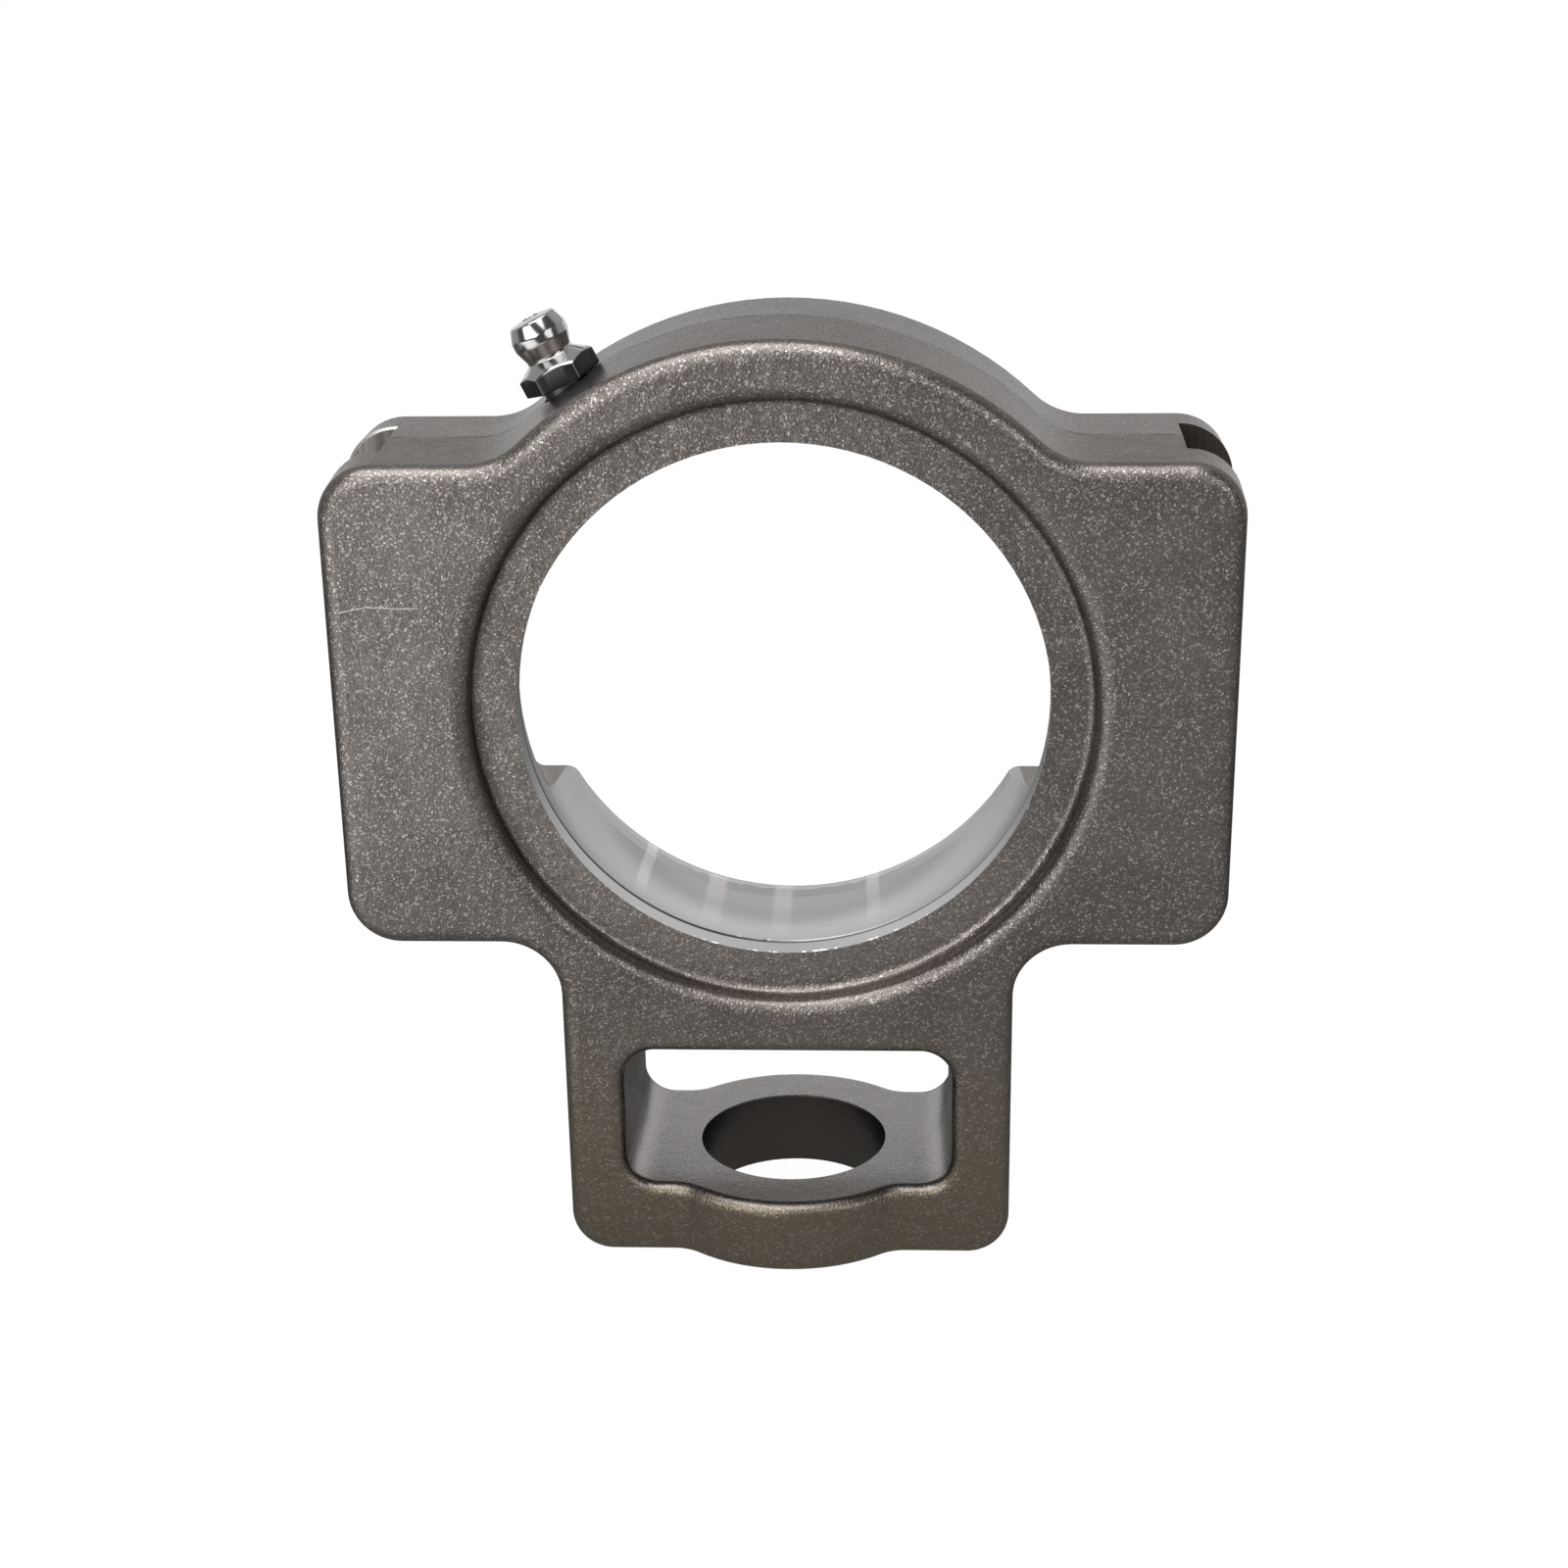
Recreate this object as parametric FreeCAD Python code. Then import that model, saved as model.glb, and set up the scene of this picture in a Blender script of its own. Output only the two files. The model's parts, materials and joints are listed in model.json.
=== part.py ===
import FreeCAD, Part
import math
import os

# Take up bearing housing, in millimetres.
# The origin is the centre of the spherical bearing seat. +Y runs along the bore to the back,
# +Z points away from the tail, and X runs from one guide groove to the other.

# Bearing seat
seat_diameter = 62.0
seat_step = 0.8
ring_depth = 20.8

# Bearing ring, and the plate that it stands in
body_depth = 27.2
annulus_width = 4.9
lip_width = 6.9
draft_angle = 1.5
edge_round = 2.0
recess_draft = 4.0
recess_floor_round = 1.0

# Guide wings
wing_height = 57.0
wing_corner = 6.4
shoulder_round = 8.3
groove_span = 89.0
groove_width = 12.0
flange_reach = 6.6

# Tail, with the window that holds the adjusting screw's nut
tail_width = 53.4
tail_length = 68.7
tail_corner = 5.0
tail_neck_round = 6.4
window_width = 38.2
window_roof = 7.0
window_corner = 3.8
window_edge_round = 1.5
end_wall = 9.2
screw_hole_diameter = 22.8
boss_diameter = 37.0
boss_blend = 4.0
corner_clearance = 0.2

# Loading notches, where the bearing insert goes in before it is turned into its seat
notch_height = 26.5
notch_front = 2.0
notch_draft = 5.5
notch_wall_slope = 15.0
notch_corner = 1.5
lug_round = 1.8
lug_bite = 0.03

# Grease nipple, screwed into the ring at the upper left
nipple_place_angle = 35.0
nipple_lean_angle = 26.0
hex_clearance = 0.05
thread_diameter = 6.0
thread_length = 5.0
thread_relief_depth = 0.3
thread_relief_length = 1.4
thread_end_chamfer = 0.5
thread_clearance = 0.05
tapped_depth = 6.5
passage_diameter = 3.0
hex_across_flats = 8.0
hex_height = 2.25
hex_chamfer_angle = 30.0
hex_turn = -9.0
shoulder_height = 0.9
neck_diameter = 5.4
neck_height = 0.35
head_diameter = 6.5
head_cone_height = 1.55
head_band_height = 1.0
nose_height = 1.55
nose_diameter = 5.3
nose_crown = 0.25

# Check ball and its spring, inside the nipple
ball_diameter = 3.0
ball_seat_clearance = 0.03
ball_bore_diameter = 3.4
mouth_diameter = 1.9
mouth_lip = 0.45
crimp_diameter = 2.0
crimp_thickness = 0.5
spring_wire = 0.35
spring_diameter = 2.9
spring_turns = 6.5
spring_clearance = 0.05

# Sizes that follow from the ones above
seat_radius = seat_diameter / 2
land_radius = seat_radius - seat_step
recess_radius = land_radius + annulus_width
ring_radius = recess_radius + lip_width
half_depth = body_depth / 2
half_ring_depth = ring_depth / 2
recess_depth = half_depth - half_ring_depth
recess_rim_round = min(edge_round, recess_depth - recess_floor_round - corner_clearance)
half_width = groove_span / 2 + flange_reach
half_wing = wing_height / 2
half_tail = tail_width / 2
window_floor = end_wall - tail_length
window_top = -recess_radius - window_roof
draft_at_face = half_depth * math.tan(math.radians(draft_angle))
recess_mouth_radius = recess_radius + recess_depth * math.tan(math.radians(recess_draft))
flat_radius = recess_mouth_radius + recess_rim_round + corner_clearance
neck_room = flat_radius + edge_round + draft_at_face
neck_spread = math.sqrt(2 * (neck_room - half_tail) * (neck_room - half_wing))
neck_round = max(tail_neck_round, neck_room - half_tail - half_wing + neck_spread)
boss_meeting_x = math.sqrt((boss_diameter / 2 + boss_blend) ** 2 - (half_depth + boss_blend) ** 2)
corner_room = min(
    window_width / 2 - boss_meeting_x - corner_clearance,
    (window_top - window_floor) / 2 - corner_clearance,
)
window_round = min(window_corner, corner_room)

hex_sides = 6
hex_corner = hex_across_flats / 2 / math.cos(math.radians(180 / hex_sides))
overshoot = 1.0
tolerance = 0.01
X = FreeCAD.Vector(1, 0, 0)
Y = FreeCAD.Vector(0, 1, 0)
Z = FreeCAD.Vector(0, 0, 1)
ORIGIN = FreeCAD.Vector(0, 0, 0)


def vec(x, y, z):
    return FreeCAD.Vector(x, y, z)


def arc(centre, radius, start, end, up=Z):
    """An arc between two angles in degrees, which are counted from +X towards up."""
    points = []
    for degrees in (start, (start + end) / 2, end):
        angle = math.radians(degrees)
        points.append(centre + X * radius * math.cos(angle) + up * radius * math.sin(angle))
    return Part.Arc(*points).toShape()


def closed_wire(edges):
    return Part.Wire(Part.__sortEdges__(edges))


def both_sides(edges, normal):
    """The edges, and the same edges mirrored in the plane through the origin."""
    return edges + [edge.mirror(ORIGIN, normal) for edge in edges]


def on_true_planes(solid):
    """The same solid, with each flat face that the loft gave as a spline put on a plane."""
    faces = []
    for face in solid.Faces:
        plane = face.findPlane() if isinstance(face.Surface, Part.BSplineSurface) else None
        faces.append(Part.Face(plane, face.OuterWire) if plane else face)
    return Part.Solid(Part.Shell(faces))


def body_outline(y, inset):
    """Ring, wings and tail as one outline, drawn in by the draft of the mould."""
    ring = ring_radius - inset
    side = half_width - inset
    top = half_wing - inset
    tail = half_tail - inset
    corner = wing_corner - inset
    shoulder = shoulder_round + inset
    neck = neck_round + inset
    shoulder_x = math.sqrt((ring + shoulder) ** 2 - (top + shoulder) ** 2)
    meeting = math.degrees(math.atan2(top + shoulder, shoulder_x))
    corner_x = side - corner
    corner_z = top - corner
    neck_x = tail + neck
    foot_x = tail - tail_corner
    foot_z = tail_corner - tail_length
    right = [
        arc(vec(0, y, 0), ring, 90, meeting),
        arc(vec(shoulder_x, y, top + shoulder), shoulder, 180 + meeting, 270),
        Part.makeLine(vec(shoulder_x, y, top), vec(corner_x, y, top)),
        arc(vec(corner_x, y, corner_z), corner, 90, 0),
        Part.makeLine(vec(side, y, corner_z), vec(side, y, -corner_z)),
        arc(vec(corner_x, y, -corner_z), corner, 0, -90),
        Part.makeLine(vec(corner_x, y, -top), vec(neck_x, y, -top)),
        arc(vec(neck_x, y, -top - neck), neck, 90, 180),
        Part.makeLine(vec(tail, y, -top - neck), vec(tail, y, foot_z)),
        arc(vec(foot_x, y, foot_z), tail_corner, 0, -90),
        Part.makeLine(vec(foot_x, y, -tail_length), vec(0, y, -tail_length)),
    ]
    return closed_wire(both_sides(right, X))


def window_outline(y, widening):
    """The window's rounded rectangle. Its floor has no draft, because the nut bears on it."""
    side = window_width / 2 + widening
    top = window_top + widening
    corner_x = side - window_round
    upper_z = top - window_round
    lower_z = window_floor + window_round
    right = [
        Part.makeLine(vec(0, y, top), vec(corner_x, y, top)),
        arc(vec(corner_x, y, upper_z), window_round, 90, 0),
        Part.makeLine(vec(side, y, upper_z), vec(side, y, lower_z)),
        arc(vec(corner_x, y, lower_z), window_round, 0, -90),
        Part.makeLine(vec(corner_x, y, window_floor), vec(0, y, window_floor)),
    ]
    return closed_wire(both_sides(right, X))


def boss_bulge():
    """The round boss of the screw hole, where it stands out of the front face."""
    foot = vec(0, 0, -tail_length)
    blend_centre = vec(boss_meeting_x, -half_depth - boss_blend, -tail_length)
    meeting = math.degrees(math.atan2(half_depth + boss_blend, boss_meeting_x))
    inner = vec(boss_meeting_x, 0, -tail_length)
    right = [
        arc(foot, boss_diameter / 2, -90, -meeting, Y),
        arc(blend_centre, boss_blend, 180 - meeting, 90, Y),
        Part.makeLine(vec(boss_meeting_x, -half_depth, -tail_length), inner),
        Part.makeLine(inner, foot),
    ]
    return Part.Face(closed_wire(both_sides(right, X))).extrude(Z * end_wall)


def split_front_edges(half):
    """The outer front edge and the window's front edge, each of which runs on round the boss."""
    outer = []
    window = []
    for edge in half.Edges:
        box = edge.BoundBox
        middle = edge.CenterOfMass
        boss_seam = abs(abs(middle.x) - boss_meeting_x) < tolerance and middle.z < window_floor
        if box.YMax > tolerance - half_depth or boss_seam:
            continue
        on_front_face = box.YLength < tolerance
        beside_window = abs(middle.x) < window_width / 2 + overshoot
        at_window = beside_window and window_floor - tolerance < middle.z < window_top + overshoot
        if at_window and (on_front_face or box.ZLength < tolerance):
            window.append(edge)
        elif on_front_face or (box.ZLength < tolerance and box.ZMax < window_floor - tolerance):
            outer.append(edge)
    return outer, window


def edges_on_circle(shape, y, radius):
    """The round edges about the bore's axis at one depth."""
    found = []
    for edge in shape.Edges:
        box = edge.BoundBox
        round_edge = isinstance(edge.Curve, Part.Circle)
        if round_edge and box.YLength < tolerance and abs(box.YMin - y) < tolerance:
            if abs(edge.Curve.Radius - radius) < tolerance:
                found.append(edge)
    return found


def front_half():
    """The casting's front half, from the parting plane forward, as it leaves the mould."""
    outlines = [body_outline(0, 0), body_outline(-half_depth, draft_at_face)]
    openings = [window_outline(0, 0), window_outline(-half_depth, draft_at_face)]
    plate = on_true_planes(Part.makeLoft(outlines, True, True))
    window = on_true_planes(Part.makeLoft(openings, True, True))
    half = plate.cut(window).fuse(boss_bulge()).removeSplitter()
    outer_edges, window_edges = split_front_edges(half)
    half = half.makeFillet(edge_round, outer_edges)
    half = half.makeFillet(window_edge_round, window_edges)

    tool = Part.makeCone(
        recess_radius,
        recess_mouth_radius + overshoot * math.tan(math.radians(recess_draft)),
        recess_depth + overshoot,
        vec(0, -half_ring_depth, 0),
        -Y,
    )
    half = half.cut(tool)
    rim_edges = edges_on_circle(half, -half_depth, recess_mouth_radius)
    half = half.makeFillet(recess_rim_round, rim_edges)
    floor_edges = edges_on_circle(half, -half_ring_depth, recess_radius)
    return half.makeFillet(recess_floor_round, floor_edges)


def notch_outline(y):
    """One loading notch, cut across the bore's axis. It widens and deepens towards the back."""
    reach = y + notch_front
    front_radius = math.sqrt(seat_radius ** 2 - notch_front ** 2)
    wall = front_radius + reach * math.tan(math.radians(notch_wall_slope))
    height = notch_height / 2 + reach * math.tan(math.radians(notch_draft))
    corner_z = height - notch_corner
    corner_x = math.sqrt((wall - notch_corner) ** 2 - corner_z ** 2)
    wall_turn = math.degrees(math.atan2(corner_z, corner_x))
    lug_z = height + lug_round
    lug_x = math.sqrt((land_radius + lug_round - lug_bite) ** 2 - lug_z ** 2)
    lug_turn = math.degrees(math.atan2(lug_z, lug_x))
    lug_end = vec(lug_x, y, lug_z) * ((land_radius - lug_bite) / (land_radius + lug_round - lug_bite))
    lug_end.y = y
    inside = vec(lug_end.x - lug_round, y, lug_end.z)
    upper = [
        arc(vec(0, y, 0), wall, 0, wall_turn),
        arc(vec(corner_x, y, corner_z), notch_corner, wall_turn, 90),
        Part.makeLine(vec(corner_x, y, height), vec(lug_x, y, height)),
        arc(vec(lug_x, y, lug_z), lug_round, -90, lug_turn - 180),
        Part.makeLine(lug_end, inside),
        Part.makeLine(inside, vec(inside.x, y, 0)),
    ]
    return closed_wire(both_sides(upper, Z))


def nipple_axis():
    lean = math.radians(nipple_lean_angle)
    return vec(-math.sin(lean), 0, math.cos(lean))


def nipple_seat():
    """The middle of the hexagon's underside, where its lowest corner just clears the ring."""
    place = math.radians(nipple_place_angle)
    tilt = math.radians(nipple_place_angle - nipple_lean_angle)
    corner_reach = math.sqrt((ring_radius + hex_clearance) ** 2 - (hex_corner * math.cos(tilt)) ** 2)
    return vec(-math.sin(place), 0, math.cos(place)) * (corner_reach + hex_corner * abs(math.sin(tilt)))


def screwed_in(shape):
    """Moves a piece of the nipple from its own upright frame to its place on the ring."""
    shape.rotate(ORIGIN, Y, -nipple_lean_angle)
    shape.translate(nipple_seat())
    return shape


def grease_hole():
    """The tapped hole for the nipple, and the passage on into the bearing seat."""
    seat = nipple_seat()
    along = seat.dot(nipple_axis())
    to_bearing = along - math.sqrt(along ** 2 - seat.Length ** 2 + seat_radius ** 2)
    thread_radius = thread_diameter / 2 + thread_clearance
    tapped = Part.makeCylinder(thread_radius, tapped_depth + overshoot, vec(0, 0, -tapped_depth))
    passage_length = to_bearing + passage_diameter
    passage = Part.makeCylinder(passage_diameter / 2, passage_length, vec(0, 0, -passage_length))
    return screwed_in(tapped.fuse(passage))


def housing():
    front = front_half()
    body = front.fuse(front.mirror(ORIGIN, Y)).removeSplitter()
    bore = Part.makeCylinder(land_radius, body_depth, vec(0, -half_depth, 0), Y)
    seat = Part.makeSphere(seat_radius)
    hole = Part.makeCylinder(
        screw_hole_diameter / 2, end_wall + 2 * overshoot, vec(0, 0, -tail_length - overshoot)
    )
    groove = Part.makeBox(
        flange_reach + overshoot,
        groove_width,
        wing_height + 2 * overshoot,
        vec(groove_span / 2, -groove_width / 2, -half_wing - overshoot),
    )
    notch = Part.makeLoft(
        [notch_outline(-notch_front), notch_outline(half_ring_depth + overshoot)], True, True
    )
    tools = [bore, seat, hole, grease_hole()]
    for tool in (groove, notch):
        tools += [tool, tool.mirror(ORIGIN, X)]
    for tool in tools:
        body = body.cut(tool)
    return body


def turned(profile):
    """A turned piece from its half section, given as pairs of radius and height."""
    points = [vec(radius, 0, height) for radius, height in profile]
    points.append(points[0])
    return Part.Face(Part.makePolygon(points)).revolve(ORIGIN, Z, 360)


def hexagon():
    """The nipple's hexagon, with its upper corners turned off."""
    flats = hex_across_flats / 2
    points = []
    for side in range(hex_sides):
        angle = math.radians(hex_turn + 360 / hex_sides * side)
        points.append(vec(hex_corner * math.cos(angle), hex_corner * math.sin(angle), 0))
    points.append(points[0])
    prism = Part.Face(Part.makePolygon(points)).extrude(Z * hex_height)
    outside = hex_corner + overshoot
    fall = (outside - flats) * math.tan(math.radians(hex_chamfer_angle))
    chamfer = turned(
        [
            (0, 0),
            (outside, 0),
            (outside, hex_height - fall),
            (flats, hex_height),
            (0, hex_height),
        ]
    )
    return prism.common(chamfer)


# Heights inside the nipple, counted from the hexagon's underside
neck_foot = hex_height + shoulder_height
neck_top = neck_foot + neck_height
band_foot = neck_top + head_cone_height
band_top = band_foot + head_band_height
nose_top = band_top + nose_height
mouth_top = nose_top + nose_crown
ball_seat_top = mouth_top - mouth_lip
ball_centre = (
    ball_seat_top + mouth_diameter / 2 - math.sqrt(2) * (ball_diameter / 2 + ball_seat_clearance)
)


def grease_nipple():
    thread = thread_diameter / 2
    relief = thread - thread_relief_depth
    relief_top = -thread_relief_length
    bore = ball_bore_diameter / 2
    mouth = mouth_diameter / 2
    crimp = crimp_diameter / 2
    head = head_diameter / 2
    neck = neck_diameter / 2
    body = turned(
        [
            (crimp, -thread_length),
            (thread - thread_end_chamfer, -thread_length),
            (thread, thread_end_chamfer - thread_length),
            (thread, relief_top - thread_relief_depth),
            (relief, relief_top),
            (relief, 0),
            (relief, hex_height / 2),
            (hex_across_flats / 2, hex_height / 2),
            (hex_across_flats / 2, hex_height),
            (neck, neck_foot),
            (neck, neck_top),
            (head, band_foot),
            (head, band_top),
            (nose_diameter / 2, nose_top),
            (mouth, mouth_top),
            (mouth, ball_seat_top),
            (bore, ball_seat_top - (bore - mouth)),
            (bore, crimp_thickness - thread_length),
            (crimp, crimp_thickness - thread_length),
        ]
    )
    bored = hexagon().cut(Part.makeCylinder(bore, hex_height))
    return screwed_in(body.fuse(bored).removeSplitter())


def check_ball():
    return screwed_in(Part.makeSphere(ball_diameter / 2, vec(0, 0, ball_centre)))


def ball_spring():
    """A round wire wound between the crimped foot of the nipple and the ball."""
    coil = (spring_diameter - spring_wire) / 2
    wire = spring_wire / 2
    foot = crimp_thickness - thread_length + wire + spring_clearance
    below_ball = math.sqrt((ball_diameter / 2 + wire + spring_clearance) ** 2 - coil ** 2)
    height = ball_centre - below_ball - foot
    path = Part.makeHelix(height / spring_turns, height, coil)
    section = Part.Wire(Part.makeCircle(wire, vec(coil, 0, 0), Y))
    spring = Part.Wire(path.Edges).makePipeShell([section], True, True)
    spring.translate(Z * foot)
    return screwed_in(spring)


os.makedirs("parts", exist_ok=True)
housing().exportStep("parts/housing.step")
grease_nipple().exportStep("parts/grease_nipple.step")
check_ball().exportStep("parts/check_ball.step")
ball_spring().exportStep("parts/ball_spring.step")
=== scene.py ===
# %% [markdown]
# # A cast take up bearing housing
# The object is one iron casting with a grease nipple screwed into it. The housing slides between two guide
# rails, which run in the grooves at its sides, and a screw in the windowed tail pulls it along to tighten a
# belt. The shape comes from the CAD model, so this lesson is about what makes it look real: the blasted
# skin of a sand casting, the turned seat inside it, and a small bright-plated nipple.

import json
import math
from types import SimpleNamespace

import bmesh
import bpy
from mathutils import Matrix, Vector


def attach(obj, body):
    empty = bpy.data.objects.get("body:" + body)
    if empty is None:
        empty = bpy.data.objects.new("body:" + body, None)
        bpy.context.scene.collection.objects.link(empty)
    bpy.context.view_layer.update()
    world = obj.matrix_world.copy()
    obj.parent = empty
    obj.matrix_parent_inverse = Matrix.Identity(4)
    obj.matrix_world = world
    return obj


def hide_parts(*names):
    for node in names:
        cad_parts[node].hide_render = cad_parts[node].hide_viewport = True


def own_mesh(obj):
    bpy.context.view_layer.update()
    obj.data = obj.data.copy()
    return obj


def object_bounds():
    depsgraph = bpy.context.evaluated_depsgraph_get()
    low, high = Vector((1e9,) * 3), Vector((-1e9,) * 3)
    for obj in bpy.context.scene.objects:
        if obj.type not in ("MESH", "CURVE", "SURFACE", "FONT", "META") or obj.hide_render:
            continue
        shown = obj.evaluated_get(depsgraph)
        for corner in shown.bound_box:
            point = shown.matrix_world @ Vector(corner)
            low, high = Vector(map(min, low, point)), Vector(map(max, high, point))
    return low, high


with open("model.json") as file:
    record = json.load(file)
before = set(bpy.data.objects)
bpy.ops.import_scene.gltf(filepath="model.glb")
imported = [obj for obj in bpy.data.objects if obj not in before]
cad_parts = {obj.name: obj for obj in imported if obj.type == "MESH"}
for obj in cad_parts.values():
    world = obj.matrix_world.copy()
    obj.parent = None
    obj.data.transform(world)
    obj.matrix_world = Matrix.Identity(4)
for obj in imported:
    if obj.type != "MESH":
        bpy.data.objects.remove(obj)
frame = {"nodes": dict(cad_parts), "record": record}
cad_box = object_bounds()
MM = 0.001
print("CAD box in mm:", [[round(v / MM, 1) for v in corner] for corner in cad_box])

# %% [markdown]
# ## Camera
# The photo was taken from the front and a little above, with a short telephoto lens. The numbers below come
# from fitting the housing's outline to the photo: the camera's place, the way it looks, and its focal
# length in pixels. Most of the photo's upper part was cut off, which puts the optical axis below the middle
# of the picture, and the lens shift says that.

# %% Camera
photo_pixels = 1600
focal_pixels = 2870.9
axis_pixel_row = 950
camera_place = Vector((15.80, -311.10, 101.39)) * MM
camera_yaw = -0.0533
camera_pitch = 0.4041
camera_roll = 0.0163
nearest_shown = 0.01


def aim(yaw, pitch, roll):
    """The camera's turn: it looks along +Y, then turns by yaw, dips by pitch and tilts by roll."""
    forward = Vector((math.sin(yaw) * math.cos(pitch), math.cos(yaw) * math.cos(pitch), -math.sin(pitch)))
    level = Vector((math.cos(yaw), -math.sin(yaw), 0))
    down = forward.cross(level)
    right = level * math.cos(roll) + down * math.sin(roll)
    up = level * math.sin(roll) - down * math.cos(roll)
    return Matrix((right, up, -forward)).transposed()


camera_data = bpy.data.cameras.new("photo_camera")
camera = bpy.data.objects.new("photo_camera", camera_data)
bpy.context.scene.collection.objects.link(camera)
camera_data.lens = focal_pixels / photo_pixels * camera_data.sensor_width
camera_data.shift_y = (axis_pixel_row - photo_pixels / 2) / photo_pixels
camera_data.clip_start = nearest_shown
camera.matrix_world = Matrix.Translation(camera_place) @ aim(camera_yaw, camera_pitch, camera_roll).to_4x4()
bpy.context.scene.camera = camera
bpy.context.scene.view_settings.view_transform = "Standard"
print("lens", round(camera_data.lens, 1), "mm, shift", round(camera_data.shift_y, 3))

# %% [markdown]
# ## Small helpers for materials
# A material is a tree of nodes. These helpers add one node per line, wire its inputs by name, and give back
# the output, so that a material below reads from top to bottom like a recipe. Lengths in the trees are
# millimetres.

# %% Node helpers
warm_red = 1.4
usual_low = 0.35
usual_high = 0.65
dent_power = 1.6


def add(tree, kind, inputs=None, **settings):
    """One node, with its settings. An input is a value or the output of another node."""
    node = tree.nodes.new(kind)
    for name, value in settings.items():
        setattr(node, name, value)
    for name, value in (inputs or {}).items():
        if isinstance(value, bpy.types.NodeSocket):
            tree.links.new(value, node.inputs[name])
        else:
            node.inputs[name].default_value = value
    return node


def calc(tree, operation, *values):
    """One sum on numbers."""
    return add(tree, "ShaderNodeMath", dict(enumerate(values)), operation=operation).outputs[0]


def total(tree, *values):
    """All the values added up."""
    result = values[0]
    for value in values[1:]:
        result = calc(tree, "ADD", result, value)
    return result


def slope(tree, value, start, end, low, high, kind="LINEAR"):
    """low before start and high after end, with a straight change between them."""
    inputs = {"Value": value, "From Min": start, "From Max": end, "To Min": low, "To Max": high}
    return add(tree, "ShaderNodeMapRange", inputs, interpolation_type=kind).outputs["Result"]


def ramp(tree, value, start, end, low=0.0, high=1.0):
    """low before start and high after end, with a smooth change between them."""
    return slope(tree, value, start, end, low, high, "SMOOTHSTEP")


def below(tree, value, limit, soft=0.05):
    """1 where value is below the limit, and 0 above it."""
    return ramp(tree, value, limit, limit + soft, 1.0, 0.0)


def both(tree, *masks):
    """1 only where every mask is 1."""
    result = masks[0]
    for mask in masks[1:]:
        result = calc(tree, "MULTIPLY", result, mask)
    return result


def outside(tree, mask):
    """1 where the mask is 0, and 0 where it is 1."""
    return calc(tree, "SUBTRACT", 1.0, mask)


def mix(tree, mask, plain, marked):
    """A number: plain where the mask is 0, and marked where it is 1."""
    return add(tree, "ShaderNodeMix", {"Factor": mask, "A": plain, "B": marked}).outputs[0]


def mix_colour(tree, mask, plain, marked):
    """A colour: plain where the mask is 0, and marked where it is 1."""
    node = add(tree, "ShaderNodeMix", data_type="RGBA")
    factor, first, second = node.inputs[0], node.inputs[6], node.inputs[7]
    for socket, value in ((factor, mask), (first, plain), (second, marked)):
        if isinstance(value, bpy.types.NodeSocket):
            tree.links.new(value, socket)
        else:
            socket.default_value = value
    return node.outputs[2]


def grey(level, warmth=0.0):
    """A grey, with more red and less blue in it the warmer it is."""
    return (level * (1 + warm_red * warmth), level, level * (1 - warmth), 1.0)


def start_material(name):
    """An empty material, the place on the object in millimetres, and its three coordinates."""
    material = bpy.data.materials.new(name)
    material.use_nodes = True
    tree = material.node_tree
    tree.nodes.clear()
    metres = add(tree, "ShaderNodeTexCoord").outputs["Object"]
    place = add(tree, "ShaderNodeVectorMath", {0: metres, "Scale": 1 / MM}, operation="SCALE").outputs[0]
    x, y, z = add(tree, "ShaderNodeSeparateXYZ", {0: place}).outputs
    return material, tree, place, x, y, z


def noise(tree, place, size, detail=2.0, roughness=0.5):
    """Cloudy noise from 0 to 1, whose lumps are about size millimetres across."""
    inputs = {"Vector": place, "Scale": 1 / size, "Detail": detail, "Roughness": roughness}
    return add(tree, "ShaderNodeTexNoise", inputs).outputs["Fac"]


def contrast(tree, texture, low=0.0, high=1.0):
    """Noise stretched, so that its usual values fill the range from low to high."""
    return ramp(tree, texture, usual_low, usual_high, low, high)


def cells_of(tree, place, size):
    """Cells side by side at chance places, each about size millimetres across."""
    inputs = {"Vector": place, "Scale": 1 / size, "Randomness": 1.0}
    return add(tree, "ShaderNodeTexVoronoi", inputs, feature="F1").outputs


def dimples(tree, place, size):
    """Round dents side by side, as shot leaves them, each about size millimetres across."""
    return calc(tree, "POWER", cells_of(tree, place, size)["Distance"], dent_power)


def chance(tree, place, size):
    """A chance number from 0 to 1 for each grain, when the grains are about size millimetres across."""
    return add(tree, "ShaderNodeSeparateColor", {0: cells_of(tree, place, size)["Color"]}).outputs[0]


def relief(tree, texture, amount, middle=0.5):
    """A height in millimetres that rises and falls about zero. The middle is the texture's mean."""
    return calc(tree, "MULTIPLY", calc(tree, "SUBTRACT", texture, middle), amount)


def line_mask(tree, away, half_width):
    """1 on a thin line, from the distance to its middle."""
    return below(tree, calc(tree, "ABSOLUTE", away), 0.5 * half_width, 0.5 * half_width)


def finish_material(tree, colour, roughness, height, edge_tint=1.0):
    """The metal itself. The height is in millimetres. The edge tint dims what it mirrors at a low angle."""
    inputs = {
        "Base Color": colour,
        "Metallic": 1.0,
        "Roughness": roughness,
        "Specular Tint": grey(edge_tint),
        "Normal": add(tree, "ShaderNodeBump", {"Height": height, "Distance": MM}).outputs[0],
    }
    surface = add(tree, "ShaderNodeBsdfPrincipled", inputs)
    add(tree, "ShaderNodeOutputMaterial", {"Surface": surface.outputs[0]})
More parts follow.
